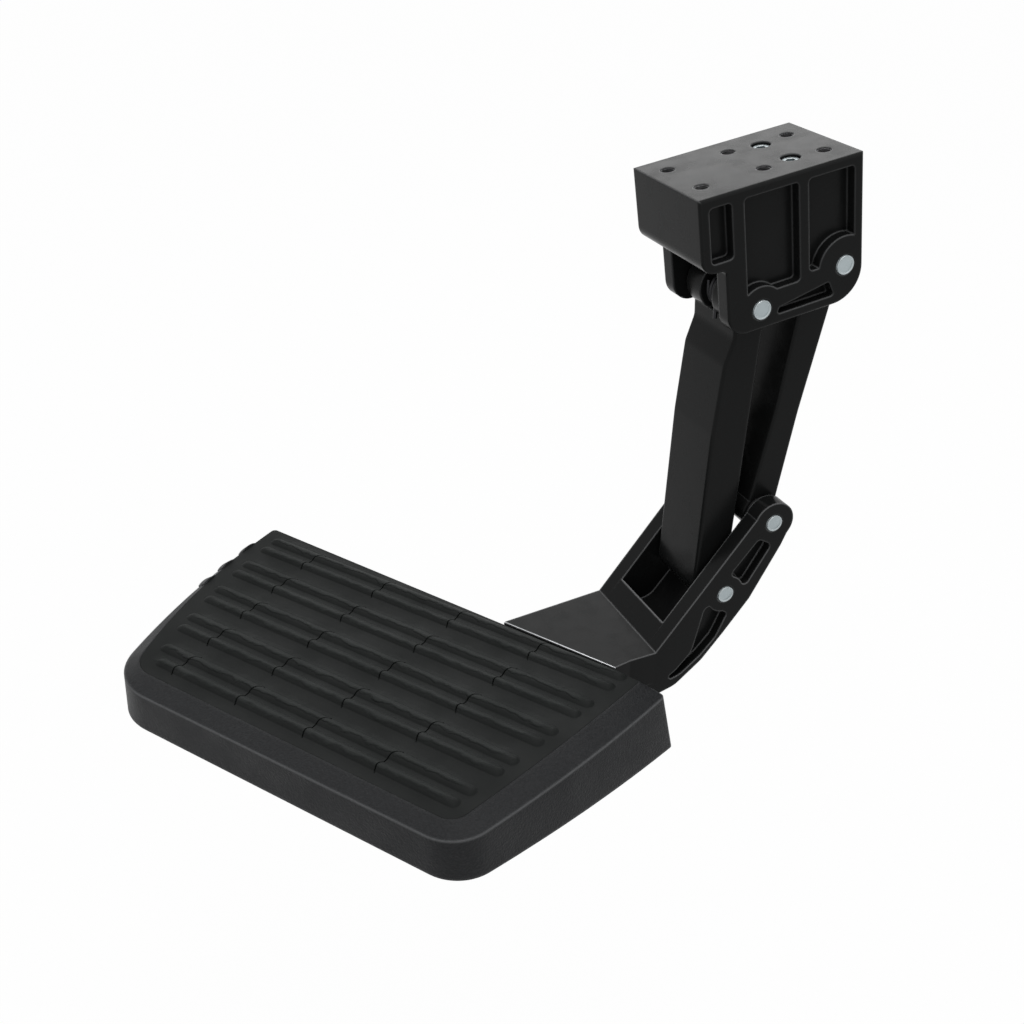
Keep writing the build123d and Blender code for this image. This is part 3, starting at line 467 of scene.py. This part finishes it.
class STEP_OT_stage(bpy.types.Operator):
    """Sets the camera, the lamps, the pale floor and the white surround"""

    bl_idname = "side_step.stage"
    bl_label = "Set the stage"

    def execute(self, context):
        stage = context.scene.side_step_stage
        self.camera(context, stage)
        self.floor(stage)
        self.lamp(context, *TOP_LAMP, stage.top_power)
        self.lamp(context, *BACK_LAMP, stage.back_power)
        self.sky(context, stage)
        context.scene.view_settings.view_transform = "Standard"
        return {"FINISHED"}

    def camera(self, context, stage):
        """The camera, at the photograph's viewing angle."""
        lens = bpy.data.cameras.new("photo_camera")
        lens.lens = stage.camera_lens
        lens.sensor_width = SENSOR_WIDTH
        lens.clip_start = 0.01
        camera = bpy.data.objects.new("photo_camera", lens)
        camera.location = stage.camera_place
        camera.rotation_euler = stage.camera_turn
        context.scene.collection.objects.link(camera)
        context.scene.camera = camera

    def floor(self, stage):
        """A wide floor below the step, which catches its shadow."""
        deselect()
        level = FRAME_BOX[0][2] - stage.floor_drop
        bpy.ops.mesh.primitive_plane_add(size=FLOOR_SIZE, location=(0, 0, level))
        floor = bpy.context.active_object
        floor.name = "pale_floor"
        bpy.ops.object.transform_apply(location=True, rotation=False, scale=False)
        paint(floor, self.floor_material())

    def floor_material(self):
        """Pale matt floor that the camera sees as white round its soft shadow."""
        material = bpy.data.materials.new("pale_floor")
        material.use_nodes = True
        nodes, links = material.node_tree.nodes, material.node_tree.links
        shader = nodes["Principled BSDF"]
        shader.inputs["Base Color"].default_value = FLOOR_COLOUR
        shader.inputs["Roughness"].default_value = FLOOR_ROUGHNESS
        glow = nodes.new("ShaderNodeEmission")
        glow.inputs["Strength"].default_value = 1.0
        share = math_node(nodes, links, "MULTIPLY", self.seen_rays(nodes, links), FLOOR_GLOW)
        mix = nodes.new("ShaderNodeMixShader")
        links.new(share, mix.inputs["Fac"])
        links.new(shader.outputs["BSDF"], mix.inputs[1])
        links.new(glow.outputs["Emission"], mix.inputs[2])
        links.new(mix.outputs["Shader"], nodes["Material Output"].inputs["Surface"])
        return material

    def seen_rays(self, nodes, links):
        """Socket that is 1 for rays from the camera, from gloss and through glass."""
        ways = nodes.new("ShaderNodeLightPath")
        seen = ways.outputs["Is Camera Ray"]
        for other in ("Is Glossy Ray", "Is Transmission Ray"):
            seen = math_node(nodes, links, "MAXIMUM", seen, ways.outputs[other])
        return seen

    def lamp(self, context, name, place, size, power):
        """A soft square lamp that faces the step."""
        light = bpy.data.lights.new(name, "AREA")
        light.shape = "SQUARE"
        light.size = size
        light.energy = power
        lamp = bpy.data.objects.new(name, light)
        lamp.location = place
        aim = Vector(LAMP_AIM) - Vector(place)
        lamp.rotation_euler = aim.to_track_quat("-Z", "Y").to_euler()
        context.scene.collection.objects.link(lamp)

    def sky(self, context, stage):
        """A soft even light from all round, which the camera and gloss see as white."""
        world = bpy.data.worlds.new("white_surround")
        context.scene.world = world
        world.use_nodes = True
        nodes, links = world.node_tree.nodes, world.node_tree.links
        soft = nodes["Background"]
        soft.inputs["Color"].default_value = WHITE
        soft.inputs["Strength"].default_value = stage.sky_strength
        seen = nodes.new("ShaderNodeBackground")
        seen.inputs["Color"].default_value = WHITE
        seen.inputs["Strength"].default_value = 1.0
        mix = nodes.new("ShaderNodeMixShader")
        links.new(self.seen_rays(nodes, links), mix.inputs["Fac"])
        links.new(soft.outputs["Background"], mix.inputs[1])
        links.new(seen.outputs["Background"], mix.inputs[2])
        links.new(mix.outputs["Shader"], nodes["World Output"].inputs["Surface"])


class STEP_OT_castings(bpy.types.Operator):
    """Coats the bracket, arms, fork and stop block in satin black, with painted highlights on their
    edges, brighter on the fork
    """

    bl_idname = "side_step.castings"
    bl_label = "Coat the castings"

    def execute(self, context):
        look = context.scene.side_step_finish
        paint_nodes(CASTINGS, self.coat(look, "black_powder_coat", COAT_EDGE_HIGHLIGHT))
        paint_nodes((FORK,), self.coat(look, "highlit_powder_coat", FORK_EDGE_HIGHLIGHT))
        return {"FINISHED"}

    def coat(self, look, name, edge_highlight):
        """Satin coat whose edges show a lighter colour, a painted highlight."""
        rough = look.coat_roughness
        return finish_material(
            name, look.coat_colour, spread=0.12, roughness=(rough - 0.05, rough + 0.07),
            fine=1400.0, broad=70.0, share=0.2, bump=(0.10, 0.0003),
            edge=(look.edge_radius, 12.0, edge_highlight, EVERY_HEIGHT), Specular_IOR_Level=0.065)


class STEP_OT_hardware(bpy.types.Operator):
    """Gives pins, rings, screws, bushes, spring, bumpers and inserts their finishes"""

    bl_idname = "side_step.hardware"
    bl_label = "Finish the hardware"

    def execute(self, context):
        look = context.scene.side_step_finish
        # The zinc's edges show a lighter colour, a painted highlight
        zinc = finish_material(
            "bright_zinc", look.zinc_colour, spread=0.20, roughness=(0.28, 0.42),
            fine=2600.0, broad=160.0, share=0.3, bump=(0.10, 0.0002),
            edge=(0.0007, 8.0, ZINC_EDGE_HIGHLIGHT, EVERY_HEIGHT), Metallic=0.9)
        paint_nodes(PINS + CLIPS + ZINC_FASTENERS, zinc)
        polymer = finish_material(
            "bearing_polymer", (0.03, 0.03, 0.031, 1.0), spread=0.1, roughness=(0.45, 0.6),
            fine=1200.0, broad=90.0, share=0.2, bump=(0.1, 0.0002))
        paint_nodes(BUSHES, polymer)
        wire = finish_material(
            "oiled_spring_steel", (0.035, 0.035, 0.037, 1.0), spread=0.15, roughness=(0.35, 0.5),
            fine=1800.0, broad=200.0, share=0.3, bump=(0.1, 0.0002), Metallic=1.0)
        paint_nodes(("return_spring",), wire)
        # The rubber's edges show a slightly lighter colour, a painted highlight
        rubber = finish_material(
            "bumper_rubber", (0.014, 0.014, 0.014, 1.0), spread=0.15, roughness=(0.6, 0.8),
            fine=1500.0, broad=120.0, share=0.3, bump=(0.25, 0.0003),
            edge=(0.0008, 3.0, RUBBER_EDGE_HIGHLIGHT, EVERY_HEIGHT))
        paint_nodes(BUMPERS, rubber)
        brass = finish_material(
            "insert_brass", (0.62, 0.42, 0.16, 1.0), spread=0.1, roughness=(0.3, 0.45),
            fine=1800.0, broad=200.0, share=0.3, bump=(0.1, 0.0002), Metallic=1.0)
        paint_nodes(("pad_inserts",), brass)
        return {"FINISHED"}


class STEP_OT_pin_faces(bpy.types.Operator):
    """Turns a rolled rim and a flat face on the near end of each pin"""

    bl_idname = "side_step.pin_faces"
    bl_label = "Face the pins"

    def execute(self, context):
        zinc = bpy.data.materials["bright_zinc"]
        for name in PINS:
            low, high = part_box(name)
            face = self.turned_face(context.scene.side_step_finish.pin_rim, low, high)
            settle(face, name + "_face", zinc)
            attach(face, PIN_BODIES[name])
        return {"FINISHED"}

    def turned_face(self, rim, low, high):
        """A disc drawn out from the pin's end, its rim rolled and its middle a little sunk."""
        radius = (high[1] - low[1]) / 2 - FACE_MARGIN
        centre = Vector((high[0], (low[1] + high[1]) / 2, (low[2] + high[2]) / 2))
        deselect()
        bpy.ops.mesh.primitive_circle_add(
            vertices=FACE_SIDES, radius=radius, fill_type="NGON", location=centre,
            rotation=(0, math.pi / 2, 0))
        disc = bpy.context.active_object
        edit_all(disc, "FACE")
        bpy.ops.mesh.extrude_region_move(TRANSFORM_OT_translate={"value": (FACE_RISE, 0, 0)})
        bpy.ops.mesh.inset(thickness=rim / 2, depth=FACE_RISE / 2)
        bpy.ops.mesh.inset(thickness=rim / 2, depth=-FACE_RISE)
        bpy.ops.mesh.inset(thickness=rim / 3, depth=FACE_RISE / 3)
        bpy.ops.object.mode_set(mode="OBJECT")
        return disc


class STEP_OT_lip_highlight(bpy.types.Operator):
    """Lays a bright metal bead along the fork's front lip where it meets the pad, a painted
    highlight
    """

    bl_idname = "side_step.tongue_lip"
    bl_label = "Paint the lip's highlight"

    def execute(self, context):
        far, near = (self.from_pad(point) for point in (LIP_FAR, LIP_NEAR))
        run = near - far
        deselect()
        bpy.ops.mesh.primitive_cylinder_add(
            vertices=LIP_SIDES, radius=LIP_RADIUS, depth=run.length, location=(far + near) / 2,
            rotation=(0.0, math.pi / 2, math.atan2(run.y, run.x)))
        lip = bpy.context.active_object
        edit_all(lip, "FACE")
        choose_faces(lip, lambda normal: abs(normal.z) > 0.9)
        bpy.ops.mesh.inset(
            thickness=LIP_RADIUS / 3, depth=LIP_RADIUS / 2, use_individual=True)
        bpy.ops.object.mode_set(mode="OBJECT")
        # Bright metal that stands in for the highlight along the lip's rounded edge
        glint_finish = finish_material(
            "lip_highlight_metal", (0.55, 0.56, 0.57, 1.0), spread=0.3, roughness=(0.25, 0.40),
            fine=1800.0, broad=240.0, share=0.4, bump=(0.1, 0.0002), cloud=120.0, Metallic=1.0)
        settle(lip, "tongue_lip", glint_finish)
        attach(lip, "carrier")
        return {"FINISHED"}

    def from_pad(self, point):
        """A point of the pad's own axes, in the frame."""
        return Vector(PAD_ORIGIN) + Matrix.Rotation(PAD_TURN, 3, "Z") @ Vector(point)


class STEP_OT_threads(bpy.types.Operator):
    """Cuts bare threads into the bracket's mounting holes"""

    bl_idname = "side_step.threads"
    bl_label = "Thread the mounting holes"

    def execute(self, context):
        bare = finish_material(
            "bare_threads", (0.36, 0.36, 0.37, 1.0), spread=0.25, roughness=(0.30, 0.45),
            fine=2200.0, broad=300.0, share=0.4, bump=(0.2, 0.0003), Metallic=1.0)
        places = [(side * HOLE_SPACING / 2, row) for row in HOLE_ROWS for side in (-1, 1)]
        first = self.sleeve(context.scene.side_step_finish.thread_depth, places[0])
        settle(first, "mounting_thread_1", bare)
        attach(first, "bracket")
        for index, place in enumerate(places[1:], start=2):
            shift = Vector((place[0] - places[0][0], place[1] - places[0][1], 0.0))
            twin = copy_to(first, "mounting_thread_%d" % index, BRACKET_TILT @ shift)
            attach(twin, "bracket")
        return {"FINISHED"}

    def sleeve(self, depth, place):
        """A tube of thread crests, drawn down the hole's wall turn by turn."""
        deselect()
        bpy.ops.mesh.primitive_circle_add(
            vertices=THREAD_SIDES, radius=HOLE_RADIUS - depth, fill_type="NOTHING",
            location=(place[0], place[1], -THREAD_TOP))
        tube = bpy.context.active_object
        edit_all(tube, "VERT")
        half_turn = {"value": (0, 0, -THREAD_PITCH / 2)}
        for turn in range(THREAD_TURNS):
            for widening in (THREAD_CREST, 1.0 / THREAD_CREST):
                bpy.ops.mesh.extrude_region_move(TRANSFORM_OT_translate=half_turn)
                bpy.ops.transform.resize(
                    value=(widening, widening, 1.0), center_override=(place[0], place[1], 0.0))
        bpy.ops.mesh.select_all(action="SELECT")
        bpy.ops.mesh.normals_make_consistent(inside=True)
        bpy.ops.object.mode_set(mode="OBJECT")
        wall = tube.modifiers.new("wall", "SOLIDIFY")
        wall.thickness = depth / 2
        wall.offset = -1.0
        bpy.ops.object.modifier_apply(modifier=wall.name)
        tube.data.transform(Matrix.Translation(tube.location))
        tube.location = (0.0, 0.0, 0.0)
        tube.data.transform(BRACKET_TILT.to_4x4())
        return tube


class STEP_OT_pad(bpy.types.Operator):
    """Gives the step pad its grained moulding, with a painted highlight along the border's crease
    """

    bl_idname = "side_step.pad"
    bl_label = "Grain the pad"

    def execute(self, context):
        look = context.scene.side_step_finish
        grained = finish_material(
            "grained_moulding", look.pad_colour, spread=0.75, roughness=(0.40, 0.56),
            fine=800.0, broad=25.0, share=0.1, bump=(1.0, 0.0006),
            edge=(0.0026, 26.0, CREASE_HIGHLIGHT, PAD_ORIGIN[2] - CREASE_START),
            cloud=520.0, Specular_IOR_Level=0.17)
        paint_nodes(("step_pad",), grained)
        return {"FINISHED"}


class STEP_OT_tread(bpy.types.Operator):
    """Gives the tread mat its rubber, with painted highlights on the crests and painted shade at
    their feet along the rows
    """

    bl_idname = "side_step.tread"
    bl_label = "Dress the tread"

    def execute(self, context):
        colour = context.scene.side_step_finish.tread_colour
        rubber = finish_material(
            "tread_rubber", colour, spread=0.12, roughness=(0.50, 0.66),
            fine=1500.0, broad=30.0, share=0.15, bump=(0.30, 0.0003), Specular_IOR_Level=0.1)
        nodes, links = rubber.node_tree.nodes, rubber.node_tree.links
        tone = self.row_tones(nodes, links)
        # Painted highlight on the crests and painted shade at their feet, blended into the rubber's
        # colour
        blend_colour(rubber, tone, tinted(colour, CREST_HIGHLIGHT))
        self.relief(nodes, links, tone)
        paint_nodes(("tread_mat",), rubber)
        return {"FINISHED"}

    def row_tones(self, nodes, links):
        """Socket with each row's tones, from back to front, with slightly wavy limits: painted
        highlight and shade, also used as bump height.
        """
        place = nodes.new("ShaderNodeTexCoord")
        on_pad = nodes.new("ShaderNodeMapping")
        on_pad.vector_type = "TEXTURE"
        on_pad.inputs["Location"].default_value = PAD_ORIGIN
        on_pad.inputs["Rotation"].default_value = (0.0, 0.0, PAD_TURN)
        links.new(place.outputs["Object"], on_pad.inputs["Vector"])
        split = nodes.new("ShaderNodeSeparateXYZ")
        links.new(on_pad.outputs["Vector"], split.inputs["Vector"])
        wander = noise(nodes, links, on_pad.outputs["Vector"], 85.0, 3.5, 0.6)
        row = math_node(
            nodes, links, "MULTIPLY_ADD", split.outputs["Y"], -1.0 / ROW_PITCH, ROW_START)
        drift = math_node(nodes, links, "MULTIPLY_ADD", wander, ROW_WANDER, -ROW_WANDER / 2)
        total = math_node(nodes, links, "ADD", row, drift)
        tones = nodes.new("ShaderNodeValToRGB")
        links.new(math_node(nodes, links, "FRACT", total), tones.inputs["Fac"])
        stops = tones.color_ramp.elements
        stops[0].position, stops[1].position = ROW_TONES[0][0], ROW_TONES[-1][0]
        for position, tone in ROW_TONES[1:-1]:
            stops.new(position)
        for stop, (position, tone) in zip(stops, ROW_TONES):
            stop.color = (tone, tone, tone, 1.0)
        return self.faded_ends(nodes, links, split, tones.outputs["Color"])

    def faded_ends(self, nodes, links, split, tone):
        """The tone, fading to the lands' own where the ridges end before the slanting borders."""
        for slant, reach in (RIGHT_END, LEFT_END):
            line = math_node(nodes, links, "MULTIPLY", split.outputs["Y"], slant)
            span = nodes.new("ShaderNodeMapRange")
            span.interpolation_type = "SMOOTHSTEP"
            span.inputs["From Min"].default_value = reach
            span.inputs["From Max"].default_value = reach + math.copysign(END_FADE, -reach)
            links.new(math_node(nodes, links, "ADD", line, split.outputs["X"]),
                      span.inputs["Value"])
            blend = nodes.new("ShaderNodeMix")
            blend.inputs["A"].default_value = LAND_TONE
            links.new(span.outputs["Result"], blend.inputs["Factor"])
            links.new(tone, blend.inputs["B"])
            tone = blend.outputs["Result"]
        return tone

    def relief(self, nodes, links, tone):
        """Bump from the rows' tones, over the bump that the grain gives."""
        normal = nodes["Principled BSDF"].inputs["Normal"]
        relief = nodes.new("ShaderNodeBump")
        relief.inputs["Strength"].default_value = 1.0
        relief.inputs["Distance"].default_value = ROW_RELIEF
        links.new(tone, relief.inputs["Height"])
        links.new(normal.links[0].from_socket, relief.inputs["Normal"])
        links.new(relief.outputs["Normal"], normal)


class STEP_PT_panel(bpy.types.Panel):
    """Sidebar panel that lists the step's operators"""

    bl_idname = "STEP_PT_panel"
    bl_label = "Side step"
    bl_space_type = "VIEW_3D"
    bl_region_type = "UI"
    bl_category = "Side step"

    def draw(self, context):
        for operator in OPERATORS:
            self.layout.operator(operator.bl_idname)


OPERATORS = (
    STEP_OT_stage, STEP_OT_castings, STEP_OT_hardware, STEP_OT_pin_faces, STEP_OT_lip_highlight,
    STEP_OT_threads, STEP_OT_pad, STEP_OT_tread,
)
CLASSES = (StageSettings, FinishSettings) + OPERATORS + (STEP_PT_panel,)


def register():
    """Make the settings, the operators and the panel known."""
    for item in CLASSES:
        bpy.utils.register_class(item)
    bpy.types.Scene.side_step_stage = PointerProperty(type=StageSettings)
    bpy.types.Scene.side_step_finish = PointerProperty(type=FinishSettings)


def unregister():
    """Take them away again."""
    del bpy.types.Scene.side_step_finish
    del bpy.types.Scene.side_step_stage
    for item in reversed(CLASSES):
        bpy.utils.unregister_class(item)


def main():
    """Build the stage and dress the step."""
    register()
    bpy.ops.side_step.stage()
    bpy.ops.side_step.castings()
    bpy.ops.side_step.hardware()
    bpy.ops.side_step.pin_faces()
    bpy.ops.side_step.tongue_lip()
    bpy.ops.side_step.threads()
    bpy.ops.side_step.pad()
    bpy.ops.side_step.tread()


if __name__ == "__main__":
    main()
